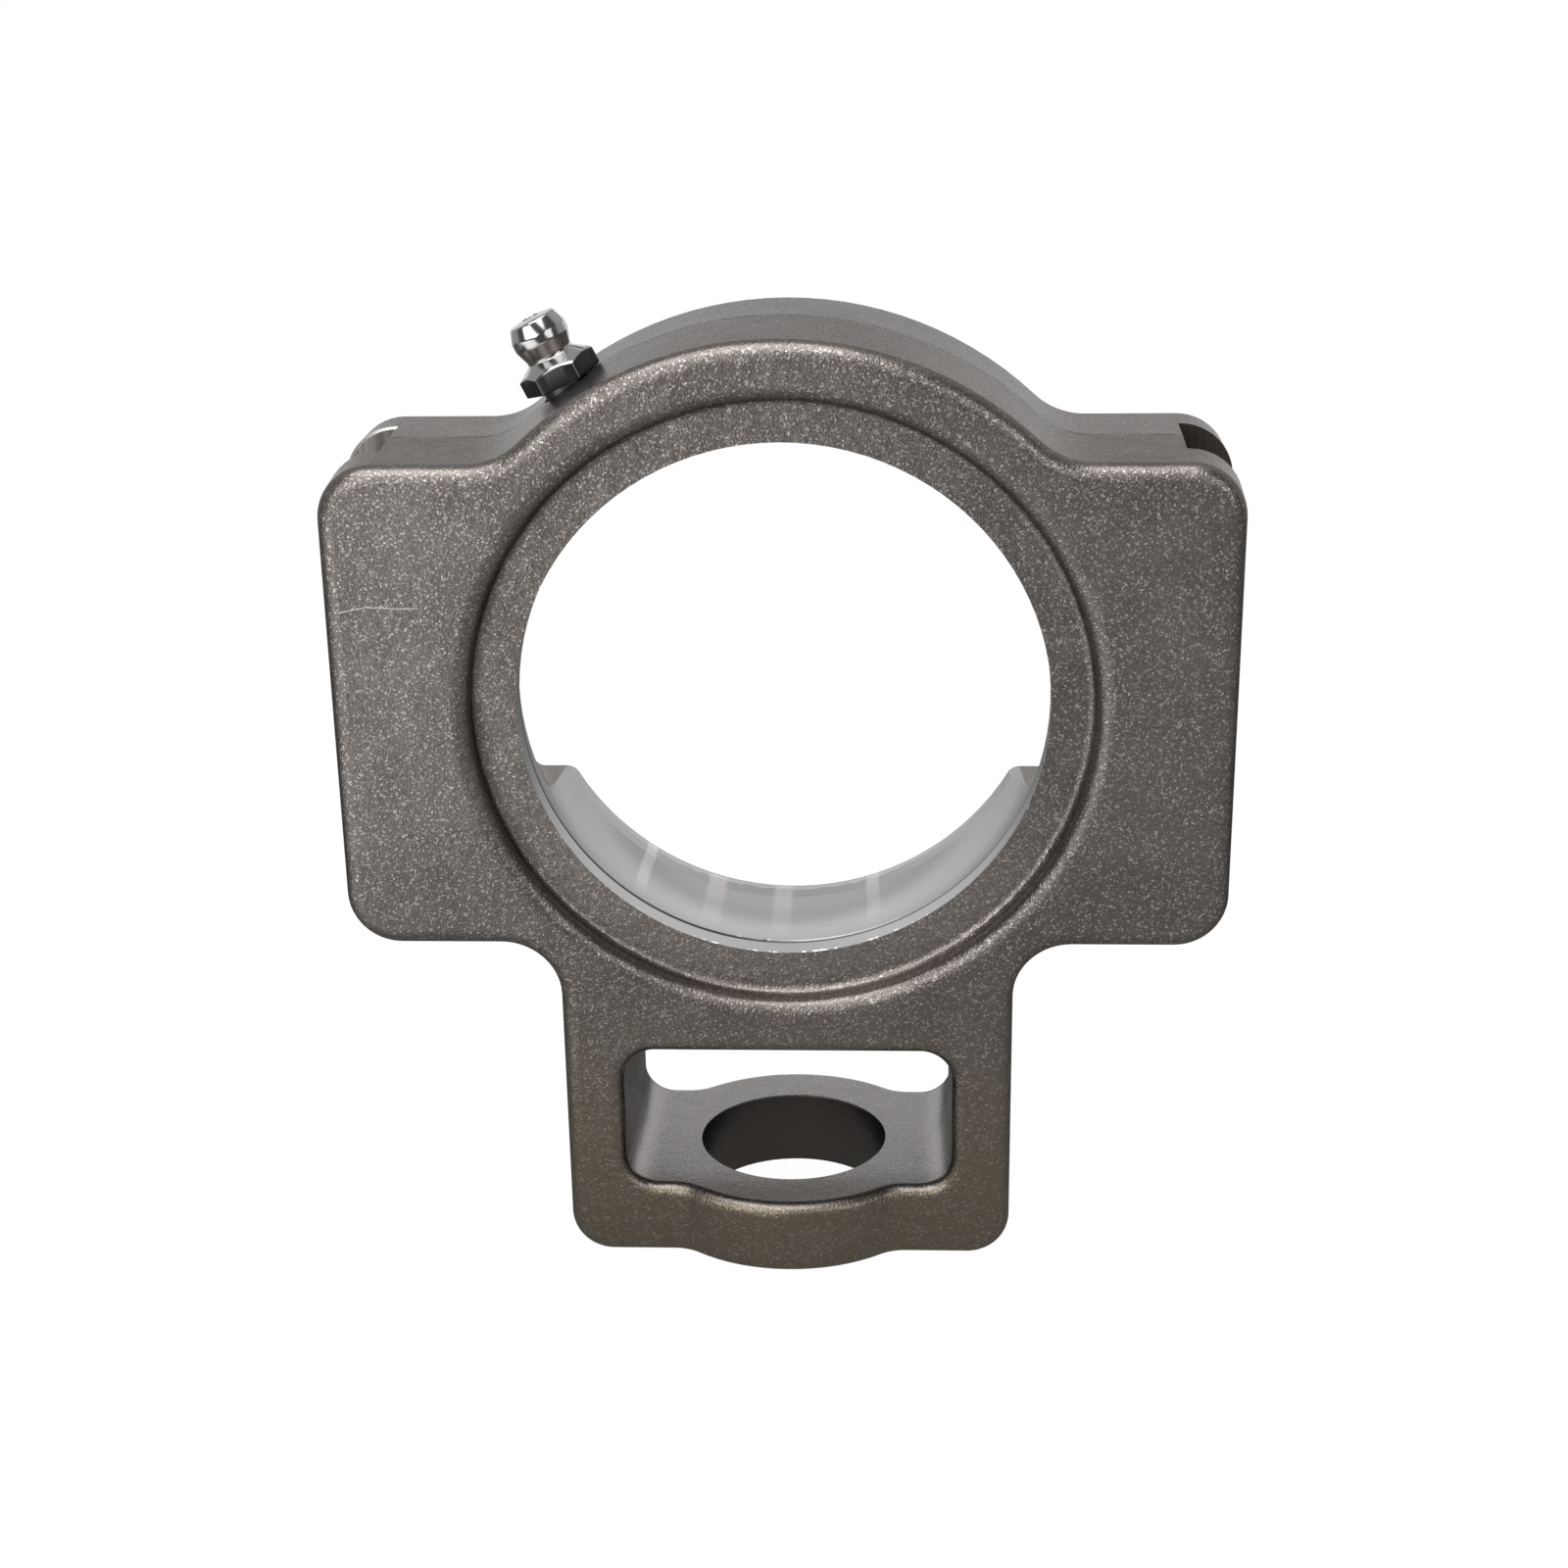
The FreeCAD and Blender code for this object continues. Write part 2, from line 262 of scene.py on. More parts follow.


# %% [markdown]
# ## The casting's finish
# The skin is iron from a sand mould, blasted with shot: a dark warm grey that glitters, because each small
# dent mirrors another part of the room. So most of the look is in the height, with lumps of three sizes and
# the shot's dents, and less in the colour, where single grains are painted lighter as painted glints. Where
# a tool has been, the mould's skin is gone: the seat is turned and light grey, the grooves are milled and
# show the cutter's upright lines, and the screw hole is painted darker as painted shade. Each of these
# places is found by its distance from the bore's axis, the screw's axis or the middle planes.

# %% Places on the casting, in millimetres
seat_radius = 31.0
land_radius = 30.2
seat_half_depth = 10.4
seat_edge = math.sqrt(seat_radius ** 2 - land_radius ** 2)
annulus_radius = 34.6
annulus_depth = 10.2
groove_floor_x = 44.5
groove_half_width = 6.0
screw_hole_radius = 11.4
window_half_width = 19.3
window_half_depth = 12.0
window_roof_z = -41.0
window_floor_z = -59.5
wing_corner_x = 44.7
wing_corner_z = 22.1
wing_front_y = -12.5
print("the seat meets its lands", round(seat_edge, 2), "mm before and behind the middle plane")


def distance_to_axis(tree, place, across):
    """The distance to an axis through the bore's middle. The vector has a 1 for each way across it."""
    flat = add(tree, "ShaderNodeVectorMath", {0: place, 1: across}, operation="MULTIPLY").outputs[0]
    return add(tree, "ShaderNodeVectorMath", {0: flat}, operation="LENGTH").outputs["Value"]


def distance_to_wing_corner(tree, side, z):
    """The distance to the middle of the round at a wing's upper corner."""
    across = calc(tree, "SUBTRACT", side, wing_corner_x)
    up = calc(tree, "SUBTRACT", z, wing_corner_z)
    squares = calc(tree, "ADD", calc(tree, "MULTIPLY", across, across), calc(tree, "MULTIPLY", up, up))
    return calc(tree, "SQRT", squares)


def casting_places(tree, place, x, y, z):
    """Where a point of the casting is: its coordinates, and its distances to planes, axes and corners."""
    at = SimpleNamespace(place=place, x=x, y=y, z=z)
    at.from_bore = distance_to_axis(tree, place, (1, 0, 1))
    at.from_screw = distance_to_axis(tree, place, (1, 1, 0))
    at.depth = calc(tree, "ABSOLUTE", y)
    at.side = calc(tree, "ABSOLUTE", x)
    at.from_corner = distance_to_wing_corner(tree, at.side, z)
    return at


# %% Areas of the casting that look different
edge_fade = 0.1
seat_reach = seat_radius + 0.02
seat_depth_limit = seat_half_depth - 0.15
groove_start_x = groove_floor_x - 0.1
groove_width_limit = groove_half_width + 0.01
hole_reach = screw_hole_radius + 0.03
hole_top_z = window_floor_z - 0.25
window_depth_fade = 1.0
floor_limit_z = window_floor_z + 0.05
below_floor_z = window_floor_z - 0.3
nut_face_from_z = -50.0
nut_face_full_z = -58.5
annulus_fade = 0.6
annulus_full_depth = 10.35
struck_from = 0.35
struck_full = 0.97
tail_from_z = -25.0
tail_full_z = -60.0


def nut_face_mask(tree, at, in_window):
    """1 on the window's floor, where the nuts bear, fading out up the window's sides."""
    up_to_floor = below(tree, at.z, floor_limit_z, edge_fade)
    at_floor = both(tree, below(tree, at.side, window_half_width), up_to_floor)
    rising = ramp(tree, at.z, nut_face_from_z, nut_face_full_z)
    above_hole = ramp(tree, at.z, below_floor_z, below_floor_z + 0.2)
    return both(tree, calc(tree, "MAXIMUM", in_window, at_floor), rising, above_hole)


def casting_areas(tree, at):
    """One mask for each area. What faces front or back is struck hardest by the shot."""
    area = SimpleNamespace()
    in_reach = below(tree, at.from_bore, seat_reach)
    area.seat = both(tree, in_reach, below(tree, at.depth, seat_depth_limit))
    past_start = ramp(tree, at.side, groove_start_x, groove_floor_x)
    area.groove = both(tree, past_start, below(tree, at.depth, groove_width_limit))
    area.hole = both(tree, below(tree, at.from_screw, hole_reach), below(tree, at.z, hole_top_z))
    area.machined = calc(tree, "MAXIMUM", area.seat, area.groove)
    window_sides = below(tree, at.side, window_half_width)
    window_depth = below(tree, at.depth, window_half_depth, window_depth_fade)
    area.window = both(tree, window_sides, window_depth, below(tree, at.z, window_roof_z))
    area.nut_face = nut_face_mask(tree, at, area.window)
    near_bore = below(tree, at.from_bore, annulus_radius, annulus_fade)
    area.annulus = both(tree, near_bore, ramp(tree, at.depth, annulus_depth, annulus_full_depth))
    normal = add(tree, "ShaderNodeTexCoord").outputs["Normal"]
    area.facing = calc(tree, "ABSOLUTE", add(tree, "ShaderNodeSeparateXYZ", {0: normal}).outputs["Y"])
    area.struck = both(tree, ramp(tree, area.facing, struck_from, struck_full), outside(tree, area.hole))
    area.tail = ramp(tree, at.z, tail_from_z, tail_full_z)
    return area


# %% The mould's skin
swell_size = 5.0
swell_height = 0.20
lump_size = 1.5
lump_height = 0.06
annulus_lump_height = 0.15
dent_size = 0.30
dent_height = 0.034
dent_mean = 0.38
grain_size = 0.20
fine_roughness = 0.6
grain_height = 0.050
sheltered_share = 0.28
ridge_start_x = -49.2
ridge_full_from_x = -48.6
ridge_full_to_x = -41.0
ridge_end_x = -39.0
ridge_left_x = -48.9
ridge_peak_x = -45.9
ridge_right_x = -39.6
ridge_left_z = 11.9
ridge_peak_z = 12.65
ridge_fall = -0.25
ridge_waver = 0.6
ridge_half_width = 0.14
ridge_height = 0.05
parting_waver = 1.2
parting_half_width = 0.45
parting_facing = 0.2
parting_gone = 0.42
parting_whole = 0.58
mottle_size = 9.0
mottle_detail = 4.0
annulus_light_from_z = -5.0
annulus_light_full_z = -25.0
front_tone_from_y = -9.0
front_tone_full_y = -15.0
glint_size = 0.19
glint_power = 8.0
sheltered_glints = 0.35
tail_glints = 0.50
sheltered_rust = 0.10
struck_rust = 0.85

skin_dark = grey(0.155, 0.08)
skin_light = grey(0.190, 0.07)
# painted light: the annulus's foot is painted lighter
annulus_foot_painted_light = grey(0.225, 0.08)
rusty_tail = (0.238, 0.200, 0.144, 1.0)
nut_face_tone = grey(0.34, 0.03)
nut_face_front_tone = grey(0.20, 0.06)
# painted glints: grains painted lighter, standing in for grains that mirror a light
painted_glint_tone = grey(0.60, 0.05)
# painted highlight: the ridge's light colour stands in for light on its upper side; its height is real
ridge_painted_highlight_tone = grey(0.42, 0.04)
parting_tone = grey(0.06, 0.08)


def skin_clouds(tree, place):
    """The textures that the skin's height and colour share."""
    cloud = SimpleNamespace()
    cloud.swell = noise(tree, place, swell_size)
    cloud.lumps = noise(tree, place, lump_size)
    cloud.grain = noise(tree, place, grain_size, roughness=fine_roughness)
    cloud.mottle = noise(tree, place, mottle_size, mottle_detail, fine_roughness)
    return cloud


def ridge_mask(tree, at, cloud):
    """A shallow ridge that runs across the front of the left wing."""
    rise = slope(tree, at.x, ridge_left_x, ridge_peak_x, ridge_left_z, ridge_peak_z)
    fall = slope(tree, at.x, ridge_peak_x, ridge_right_x, 0.0, ridge_fall)
    middle = total(tree, rise, fall, relief(tree, cloud.swell, ridge_waver))
    fade_in = ramp(tree, at.x, ridge_start_x, ridge_full_from_x)
    fade_out = ramp(tree, at.x, ridge_end_x, ridge_full_to_x)
    line = line_mask(tree, calc(tree, "SUBTRACT", at.z, middle), ridge_half_width)
    return both(tree, line, both(tree, fade_in, fade_out), below(tree, at.y, wing_front_y))


def parting_mask(tree, at, area, cloud):
    """The faint line that the mould's two halves leave round the outside, broken here and there."""
    away = calc(tree, "ADD", at.y, relief(tree, cloud.lumps, parting_waver))
    on_sides = below(tree, area.facing, parting_facing, edge_fade)
    present = ramp(tree, cloud.mottle, parting_gone, parting_whole)
    line = line_mask(tree, away, parting_half_width)
    return both(tree, line, on_sides, present, outside(tree, area.window))


def skin_height(tree, at, area, cloud, ridge):
    """Lumps, dents and grain, which are weaker where the shot hardly struck, and the ridge."""
    height = total(
        tree,
        relief(tree, cloud.swell, swell_height),
        relief(tree, cloud.lumps, mix(tree, area.annulus, lump_height, annulus_lump_height)),
        relief(tree, dimples(tree, at.place, dent_size), dent_height, dent_mean),
        relief(tree, cloud.grain, grain_height),
    )
    height = calc(tree, "MULTIPLY", height, mix(tree, area.struck, sheltered_share, 1.0))
    return calc(tree, "ADD", height, calc(tree, "MULTIPLY", ridge, ridge_height))


def painted_glint_mask(tree, at, area):
    """Painted glints: single grains painted lighter so that they flash, less in sheltered places and on the
    tail.
    """
    flash = calc(tree, "POWER", chance(tree, at.place, glint_size), glint_power)
    return both(
        tree,
        flash,
        mix(tree, area.struck, sheltered_glints, 1.0),
        mix(tree, area.tail, 1.0, tail_glints),
    )


def skin_colour(tree, at, area, cloud, ridge):
    """A stained dark grey, lighter on the nut face and browner on the tail.

    It has painted light at the annulus's foot, painted glints, and a painted highlight on the ridge.
    """
    skin = mix_colour(tree, contrast(tree, cloud.mottle), skin_dark, skin_light)
    # Painted light: the annulus's foot is painted lighter.
    painted_light_at_annulus_foot = both(tree, area.annulus, ramp(tree, at.z, annulus_light_from_z, annulus_light_full_z))
    skin = mix_colour(tree, painted_light_at_annulus_foot, skin, annulus_foot_painted_light)
    rust = both(tree, area.tail, mix(tree, area.struck, sheltered_rust, struck_rust))
    skin = mix_colour(tree, rust, skin, rusty_tail)
    toward_front = ramp(tree, at.y, front_tone_from_y, front_tone_full_y)
    nut_face = mix_colour(tree, toward_front, nut_face_tone, nut_face_front_tone)
    skin = mix_colour(tree, area.nut_face, skin, nut_face)
    skin = mix_colour(tree, painted_glint_mask(tree, at, area), skin, painted_glint_tone)
    # The ridge's lighter colour is a painted highlight.
    skin = mix_colour(tree, ridge, skin, ridge_painted_highlight_tone)
    return mix_colour(tree, parting_mask(tree, at, area, cloud), skin, parting_tone)


# %% The turned seat
# The front edge of the seat is a step, painted as a dark line of shade. From the middle to the right it has
# a bevel behind it, which mirrors the light overhead and is painted white as a painted highlight. The rim of
# the front land has such a bevel and painted highlight too, but only here and there. The seat's bottom is
# painted lighter as painted light, and its soft light streaks are painted reflections.
step_half_width = 0.16
step_height = -0.06
dark_step_half_width = 0.60
dark_step_right_share = 0.7
right_from_x = -8.0
right_full_x = 2.0
bevel_slope = 1.0
seat_bevel_y = -6.75
seat_bevel_width = 0.60
light_line_front = 6.45
light_line_half_width = 0.62
rim_bevel_y = -10.3
rim_bevel_width = 0.40
rim_noise_size = 0.7
rim_noise_detail = 3.0
rim_gone = 0.57
rim_whole = 0.60
streak_angles = {-34.9: 1.7, -17.8: 2.6, -2.2: 2.6, 18.8: 1.9}
streak_core = 0.55
streak_fade = 0.5
streaks_from_y = -6.0
streaks_full_y = 7.0
seat_cloud_size = 4.0
seat_cloud_detail = 3.0
bottom_half_width = 8.0
bottom_fade = 20.0
bottom_share = 0.6
back_land_waver = 1.6
back_land_end = 9.1
back_land_fade = 0.2

seat_dark = grey(0.43)
seat_light = grey(0.48)
# painted light: the seat's bottom is painted lighter
seat_bottom_painted_light_tone = grey(0.78)
# painted reflections: light streaks on the seat and on the back land
painted_reflection_streak_tone = grey(0.80, 0.02)
back_land_tone = grey(0.46)
back_land_painted_reflection_tone = grey(0.66, 0.02)
# painted shade: the dark line at the seat's step
painted_step_shade_tone = grey(0.02)
# painted highlight: the white on the seat's bevel and on the rim's bevel
painted_bevel_highlight_tone = grey(0.97)


def painted_seat_reflections(tree, at):
    """Painted reflections: soft light streaks along the bore, at the bottom of the seat. Each has an angle
    and a half width.
    """
    angle = calc(tree, "ARCTAN2", at.x, calc(tree, "MULTIPLY", at.z, -1.0))
    angle = calc(tree, "MULTIPLY", angle, math.degrees(1))
    streaks = 0.0
    for middle, half_width in streak_angles.items():
        away = calc(tree, "ABSOLUTE", calc(tree, "SUBTRACT", angle, middle))
        streak = below(tree, away, streak_core * half_width, streak_fade * half_width)
        streaks = calc(tree, "MAXIMUM", streaks, streak)
    return both(tree, streaks, ramp(tree, at.y, streaks_from_y, streaks_full_y))


def front_slope(tree, y, front, width):
    """A height that falls towards the front across a narrow band. The band mirrors the light overhead."""
    return slope(tree, y, front, front + width, -bevel_slope * width, 0.0)


def seat_marks(tree, at):
    """What the seat's height and colour share."""
    marks = SimpleNamespace()
    marks.step = calc(tree, "ADD", at.y, seat_edge)
    marks.right = ramp(tree, at.x, right_from_x, right_full_x)
    rim_noise = noise(tree, at.place, rim_noise_size, rim_noise_detail)
    marks.ragged = ramp(tree, rim_noise, rim_gone, rim_whole)
    return marks


def seat_height(tree, at, marks):
    """A shallow groove at the step, and the two bevels."""
    height = calc(tree, "MULTIPLY", line_mask(tree, marks.step, step_half_width), step_height)
    seat_bevel = front_slope(tree, at.y, seat_bevel_y, seat_bevel_width)
    rim_bevel = front_slope(tree, at.y, rim_bevel_y, rim_bevel_width)
    return total(tree, height, both(tree, seat_bevel, marks.right), both(tree, rim_bevel, marks.ragged))


def seat_colour(tree, at, cloud, marks):
    """Light grey, with painted light at the bottom, painted reflection streaks, a plain back land, painted
    shade at the step and painted highlights on the bevels.
    """
    seat_cloud = noise(tree, at.place, seat_cloud_size, seat_cloud_detail)
    seat = mix_colour(tree, seat_cloud, seat_dark, seat_light)
    # Painted light: the seat is painted lighter at its bottom.
    bottom = calc(tree, "MULTIPLY", below(tree, at.side, bottom_half_width, bottom_fade), bottom_share)
    seat = mix_colour(tree, bottom, seat, seat_bottom_painted_light_tone)
    # Painted reflections: light streaks along the seat.
    streaks = painted_seat_reflections(tree, at)
    seat = mix_colour(tree, streaks, seat, painted_reflection_streak_tone)
    ragged_y = calc(tree, "ADD", at.y, relief(tree, cloud.lumps, back_land_waver))
    past_seat = ramp(tree, at.y, seat_edge - edge_fade, seat_edge)
    back_land = both(tree, past_seat, below(tree, ragged_y, back_land_end, back_land_fade))
    seat = mix_colour(tree, back_land, seat, back_land_tone)
    seat = mix_colour(tree, both(tree, back_land, streaks), seat, back_land_painted_reflection_tone)
    # Painted shade: a dark line along the seat's front step.
    step_strength = mix(tree, marks.right, 1.0, dark_step_right_share)
    painted_step_shade = both(tree, line_mask(tree, marks.step, dark_step_half_width), step_strength)
    seat = mix_colour(tree, painted_step_shade, seat, painted_step_shade_tone)
    # Painted highlights: the bevel behind the step and the rim's bevel are painted white.
    from_light_line = calc(tree, "ADD", at.y, light_line_front)
    painted_bevel_highlight = both(tree, line_mask(tree, from_light_line, light_line_half_width), marks.right)
    painted_rim_glint = both(tree, below(tree, at.y, rim_bevel_y + rim_bevel_width, edge_fade), marks.ragged)
    return mix_colour(tree, calc(tree, "MAXIMUM", painted_bevel_highlight, painted_rim_glint), seat, painted_bevel_highlight_tone)


# %% The milled grooves
# The left groove is clean, and the right one is painted dark as painted shade. The left wing's upper
# corner has a burr, with a painted highlight in its colour.
line_stretch = 0.012
line_detail = 1.0
mark_pitch = 0.5
mark_height = 0.03
line_pitch = 0.35
middle_band = 1.0
burr_from = 5.90
burr_to = 6.30
burr_fall = -0.5
burr_edge = 0.05
burr_from_y = 5.8
burr_from_z = 20.0
burr_full_z = 22.0

clean_dark = grey(0.18, 0.08)
clean_light = grey(0.33, 0.06)
# painted shade: the right groove is painted dark
painted_shade_groove_dark = grey(0.07, 0.10)
painted_shade_groove_light = grey(0.13, 0.10)
# painted highlight: the burr's light colour
burr_painted_highlight_tone = grey(0.80, 0.02)


def lines_along_z(tree, at, pitch):
    """Upright marks of a cutter, as wide as the pitch and uneven."""
    squeezed_z = calc(tree, "MULTIPLY", at.z, line_stretch)
    squeezed = add(tree, "ShaderNodeCombineXYZ", {0: at.x, 1: at.y, 2: squeezed_z}).outputs[0]
    return noise(tree, squeezed, pitch, line_detail)


def burr_mask(tree, at):
    """1 on the burr: a thin band round the left wing's upper corner, near the groove's back."""
    past_round = ramp(tree, at.from_corner, burr_from, burr_from + burr_edge)
    near_top = ramp(tree, at.z, burr_from_z, burr_full_z)
    near_back = ramp(tree, at.y, burr_from_y, burr_from_y + edge_fade)
    return both(tree, past_round, near_top, near_back, below(tree, at.x, 0.0))


def groove_height(tree, at, burr):
    """The cutter's marks, and the burr's tilt."""
    cutter = relief(tree, lines_along_z(tree, at, mark_pitch), mark_height)
    burr_slope = slope(tree, at.from_corner, burr_from, burr_to, 0.0, burr_fall)
    return calc(tree, "ADD", cutter, both(tree, burr, burr_slope))


def groove_colour(tree, at, burr):
    """Clean and striped at the left, striped and painted dark as shade at the right, with a painted
    highlight on the burr.
    """
    lines = lines_along_z(tree, at, line_pitch)
    clean = mix_colour(tree, contrast(tree, lines), clean_dark, clean_light)
    # Painted shade: the right groove's dark stripes.
    painted_shade_groove = mix_colour(tree, lines, painted_shade_groove_dark, painted_shade_groove_light)
    on_right = ramp(tree, at.x, -middle_band, middle_band)
    groove = mix_colour(tree, on_right, clean, painted_shade_groove)
    return mix_colour(tree, burr, groove, burr_painted_highlight_tone)


# %% Cast iron with its machined places
# painted shade: the screw hole is painted darker than the skin
painted_hole_shade_tone = grey(0.11, 0.08)
dull_roughness = 0.38
shiny_roughness = 0.24
seat_roughness = 0.32
groove_roughness = 0.45
iron_edge_tint = 0.7


def cast_iron():
    """The skin, with the seat, the grooves and the screw hole laid over it one after another."""
    material, tree, place, x, y, z = start_material("blasted_cast_iron")
    at = casting_places(tree, place, x, y, z)
    area = casting_areas(tree, at)
    cloud = skin_clouds(tree, place)
    ridge = ridge_mask(tree, at, cloud)
    marks = seat_marks(tree, at)
    burr = burr_mask(tree, at)

    machined_height = mix(tree, area.groove, seat_height(tree, at, marks), groove_height(tree, at, burr))
    height = mix(tree, area.machined, skin_height(tree, at, area, cloud, ridge), machined_height)

    skin = skin_colour(tree, at, area, cloud, ridge)
    colour = mix_colour(tree, area.seat, skin, seat_colour(tree, at, cloud, marks))
    colour = mix_colour(tree, area.groove, colour, groove_colour(tree, at, burr))
    colour = mix_colour(tree, area.hole, colour, painted_hole_shade_tone)

    skin_roughness = contrast(tree, cloud.grain, dull_roughness, shiny_roughness)
    machined_roughness = mix(tree, area.groove, seat_roughness, groove_roughness)
    roughness = mix(tree, area.machined, skin_roughness, machined_roughness)
    finish_material(tree, colour, roughness, height, iron_edge_tint)
    return material


cast = cast_iron()
housing = frame["nodes"]["housing"]
housing.data.materials.clear()
housing.data.materials.append(cast)
print("cast iron:", len(cast.node_tree.nodes), "nodes")

# %% [markdown]
# ## The nipple's finishes
# The nipple is turned from steel and plated bright, so its head mirrors the lights. The sides of the
# hexagon are a near-black copy of the plating, painted shade for the dark room they mirror, and its cut
# corners and the relief below it are a lighter copy, painted half shade, a little brighter than the sides.
# The ball is polished, and the spring is drawn wire.

# %% Plated steel
cloud_size = 1.5
cloud_detail = 3.0
cloud_warmth = 0.01
roughness_spread = 1.5
ripple_size = 1.2
ripple_height = 0.004


def plated_steel(name, dark, light, least_roughness):
    """A steel surface, with a faint cloud in its colour and its shine."""
    material, tree, place = start_material(name)[:3]
    cloud = noise(tree, place, cloud_size, cloud_detail)
    colour = mix_colour(tree, cloud, grey(dark, cloud_warmth), grey(light, cloud_warmth))
    roughness = mix(tree, cloud, least_roughness, least_roughness * roughness_spread)
    finish_material(tree, colour, roughness, relief(tree, noise(tree, place, ripple_size), ripple_height))
    return material


bright = plated_steel("bright_plating", dark=0.40, light=0.48, least_roughness=0.11)
# The hexagon's sides are a near-black copy of the plating: painted shade. Its cut corners and the relief are
# a lighter copy: painted half shade.
painted_shade_sides = plated_steel("painted_shade_hexagon_sides", dark=0.038, light=0.055, least_roughness=0.30)
painted_half_shade = plated_steel("painted_half_shade_hexagon_corners", dark=0.14, light=0.18, least_roughness=0.30)
ball_finish = plated_steel("polished_ball", dark=0.60, light=0.66, least_roughness=0.06)
wire_finish = plated_steel("drawn_spring_wire", dark=0.40, light=0.50, least_roughness=0.25)
ball = frame["nodes"]["check_ball"]
ball.data.materials.clear()
ball.data.materials.append(ball_finish)
print("steel finishes:", [finish.name for finish in (bright, painted_shade_sides, painted_half_shade, ball_finish, wire_finish)])

# %% [markdown]
# ## The grease nipple
# The CAD nipple has sharp edges and a plain stem. This one has the same sizes, with eased edges that catch
# the light and a rolled thread on its stem, and its hexagon is turned 13 degrees further, to where the photo
# has it. Its skin is a stack of rings. Each ring gives a radius and a height at every angle, so the hexagon
# and the thread are made the same way as a turned shoulder.

# %% Sizes of the nipple, in millimetres from the hexagon's underside
thread_radius = 3.0
thread_pitch = 1.0
thread_depth = 0.28
thread_foot = -5.0
thread_end_chamfer = 0.5
rings_per_turn = 8
fade_rings = 4
relief_radius = 2.7
relief_foot = -1.4
flat_distance = 4.0
hex_height = 2.25
hex_turn = math.radians(4)
hex_chamfer_slope = math.tan(math.radians(30))
hex_corner_cut = 0.06
steps_per_side = 12
neck_radius = 2.7
neck_foot = 3.15
neck_top = 3.5
head_radius = 3.25
band_foot = 5.05
band_top = 6.05
nose_radius = 2.65
nose_top = 7.6
mouth_radius = 0.95
mouth_top = 7.85
ball_seat_top = 7.4
bore_radius = 1.7
crimp_radius = 1.0
crimp_thickness = 0.5
edge_ease = 0.10
head_ease = 0.20
most_eased = 0.4
ease_steps = (0, 0.25, 0.5, 0.75, 1)

hex_sides = 6
side_turn = math.radians(360 / hex_sides)
hex_corner = flat_distance / math.cos(side_turn / 2) - hex_corner_cut
corner_half_turn = side_turn / 2 - math.acos(flat_distance / hex_corner)
shoulder_slope = (neck_foot - hex_height) / (flat_distance - neck_radius)
nipple_mount = next(mount for mount in frame["record"]["mounts"] if mount["name"] == "nipple_head")
nipple_up = Vector(nipple_mount["axis"]).normalized()
nipple_turn = Matrix((Vector((0, 1, 0)).cross(nipple_up), (0, 1, 0), nipple_up)).transposed()
nipple_foot = Vector(nipple_mount["pos_m"]) - nipple_up * mouth_top * MM
print("hexagon's underside in mm:", [round(v / MM, 2) for v in nipple_foot])

# %% Rings of the nipple


def ring(radius, height):
    """A plain turned ring."""
    return lambda angle: (radius, height)


def eased(outline, reach):
    """Rings for an outline of radius and height, whose inner corners become small rounds."""
    points = [Vector(point) for point in outline]
    rings = [ring(*points[0])]
    for before, corner, after in zip(points, points[1:], points[2:]):
        room = min(reach, most_eased * (before - corner).length, most_eased * (after - corner).length)
        start = corner + (before - corner).normalized() * room
        end = corner + (after - corner).normalized() * room
        for t in ease_steps:
            rings.append(ring(*(start * (1 - t) ** 2 + corner * 2 * t * (1 - t) + end * t ** 2)))
    return rings + [ring(*points[-1])]


def hex_radius(angle):
    """From the axis to the hexagon's side. The corners are cut back a little, as on drawn bar."""
    from_middle = (angle - hex_turn) % side_turn - side_turn / 2
    return min(flat_distance / math.cos(from_middle), hex_corner)


def hex_top(radius):
    """Height of the hexagon's upper side: it falls outside the flats and rises to the neck inside them."""
    if radius > flat_distance:
        return hex_height - (radius - flat_distance) * hex_chamfer_slope
    return hex_height + (flat_distance - radius) * shoulder_slope


def hex_ring(inset, height=None):
    """A ring that follows the hexagon, at one height or on its upper side."""

    def place(angle):
        radius = hex_radius(angle) - inset
        return radius, hex_top(radius) if height is None else height

    return place


def below_hex_top(angle):
    """The upper end of the hexagon's sides, just below its eased edge."""
    radius = hex_radius(angle)
    return radius, hex_top(radius) - edge_ease


def inside_flats(angle):
    """The inner end of the corners' chamfers on the hexagon's upper side."""
    radius = min(hex_radius(angle) - 2 * edge_ease, flat_distance)
    return radius, hex_top(radius)


def thread_rings():
    """A rolled thread, whose grooves fade out at its foot and at the relief."""
    foot = thread_foot + thread_end_chamfer
    length = relief_foot - (thread_radius - relief_radius) - foot
    steps = round(length / thread_pitch * rings_per_turn)
    rings = []
    for step in range(steps + 1):
        height = foot + length * step / steps
        fade = min(1.0, step / fade_rings, (steps - step) / fade_rings)

        def place(angle, height=height, fade=fade):
            wave = 0.5 - 0.5 * math.cos(angle - 2 * math.pi * height / thread_pitch)
            return thread_radius - thread_depth * fade * wave, height

        rings.append(place)
    return rings


